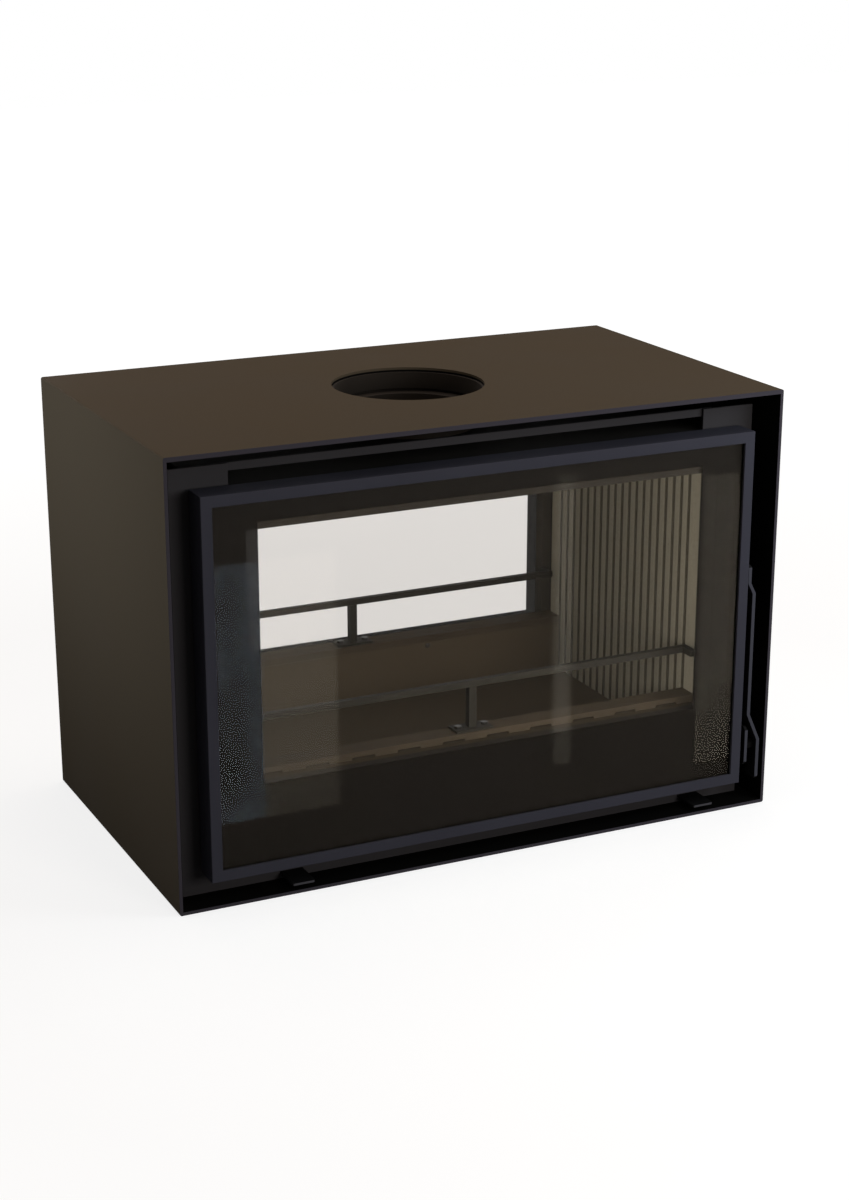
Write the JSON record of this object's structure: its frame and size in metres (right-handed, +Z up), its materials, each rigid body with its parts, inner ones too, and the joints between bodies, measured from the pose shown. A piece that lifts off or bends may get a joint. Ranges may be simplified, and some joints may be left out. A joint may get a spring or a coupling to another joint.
{
  "type": "double-sided fireplace",
  "caption": "Double-sided wood-burning fireplace insert: steel casing with a top flue socket, a fluted firebox, and a hinged glass door with side lever on each face.",
  "frame": {"origin": "centre of the underside of the casing", "axes": "+X to the right along the front, +Y to the rear, +Z up"},
  "size_m": [0.8, 0.4646, 0.545],
  "materials": {
    "casing_paint": "matt stove paint, warm charcoal",
    "front_paint": "matt stove paint, dark",
    "door_paint": "satin stove paint, graphite",
    "handle_paint": "satin black",
    "firebox_steel": "matt black heat-proof paint",
    "cast_iron": "matt",
    "guard_steel": "matt",
    "slide_steel": "matt black",
    "fastener": "darkened zinc",
    "liner": "matt, pressed board",
    "hearth": "matt fire clay",
    "glass": "clear heat-proof pane",
    "tape": "woven glass tape",
    "rope": "braided glass rope"
  },
  "bodies": {
    "firebox": {"casing": "casing_paint", "firebox_shell": "firebox_steel", "support_channels": "firebox_steel", "flue_spigot": "cast_iron", "flue_collar": "cast_iron", "right_liner": "liner", "left_liner": "liner", "hearth_plate": "hearth", "baffle_plate": "liner", "guard_screws": "fastener", "front_fascia": "front_paint", "rear_fascia": "front_paint", "front_outlet_rail": "front_paint", "rear_outlet_rail": "front_paint", "front_mouth_frame": "cast_iron", "rear_mouth_frame": "cast_iron", "front_hearth_edge": "hearth", "rear_hearth_edge": "hearth", "front_air_bar": "firebox_steel", "rear_air_bar": "firebox_steel", "front_log_guard": "guard_steel", "rear_log_guard": "guard_steel", "front_air_valves": "firebox_steel", "rear_air_valves": "firebox_steel", "front_hinge_brackets": "firebox_steel", "rear_hinge_brackets": "firebox_steel", "front_hinge_pins": "fastener", "rear_hinge_pins": "fastener", "front_catch": "firebox_steel", "rear_catch": "firebox_steel", "front_catch_screws": "fastener", "rear_catch_screws": "fastener"},
    "front_door": {"front_door_frame": "door_paint", "front_glass": "glass", "front_glass_tape": "tape", "front_glass_clips": "fastener", "front_clip_screws": "fastener", "front_door_rope": "rope", "front_hinge_knuckles": "door_paint"},
    "front_lever": {"front_handle": "handle_paint", "front_latch_shaft": "handle_paint", "front_stop_plate": "handle_paint", "front_latch_hook": "handle_paint"},
    "front_left_slide": {"front_left_air_slide": "slide_steel"},
    "front_right_slide": {"front_right_air_slide": "slide_steel"},
    "rear_door": {"rear_door_frame": "door_paint", "rear_glass": "glass", "rear_glass_tape": "tape", "rear_glass_clips": "fastener", "rear_clip_screws": "fastener", "rear_door_rope": "rope", "rear_hinge_knuckles": "door_paint"},
    "rear_lever": {"rear_handle": "handle_paint", "rear_latch_shaft": "handle_paint", "rear_stop_plate": "handle_paint", "rear_latch_hook": "handle_paint"},
    "rear_left_slide": {"rear_left_air_slide": "slide_steel"},
    "rear_right_slide": {"rear_right_air_slide": "slide_steel"}
  },
  "joints": [
    {"name": "front_door_hinge", "type": "hinge", "parent": "firebox", "child": "front_door", "pos_m": [-0.35, -0.208, 0.285], "axis": [0, 0, -1], "range_deg": [0, 100]},
    {"name": "front_lever_pivot", "type": "hinge", "parent": "front_door", "child": "front_lever", "pos_m": [0.367, -0.217, 0.08], "axis": [1, 0, 0], "range_deg": [0, 20]},
    {"name": "front_left_slide_pull", "type": "slide", "parent": "firebox", "child": "front_left_slide", "axis": [0, -1, 0], "range_m": [0, 0.035]},
    {"name": "front_right_slide_pull", "type": "slide", "parent": "firebox", "child": "front_right_slide", "axis": [0, -1, 0], "range_m": [0, 0.035]},
    {"name": "rear_door_hinge", "type": "hinge", "parent": "firebox", "child": "rear_door", "pos_m": [0.35, 0.208, 0.285], "axis": [0, 0, -1], "range_deg": [0, 100]},
    {"name": "rear_lever_pivot", "type": "hinge", "parent": "rear_door", "child": "rear_lever", "pos_m": [-0.367, 0.217, 0.08], "axis": [-1, 0, 0], "range_deg": [0, 20]},
    {"name": "rear_left_slide_pull", "type": "slide", "parent": "firebox", "child": "rear_left_slide", "axis": [0, 1, 0], "range_m": [0, 0.035]},
    {"name": "rear_right_slide_pull", "type": "slide", "parent": "firebox", "child": "rear_right_slide", "axis": [0, 1, 0], "range_m": [0, 0.035]}
  ]
}
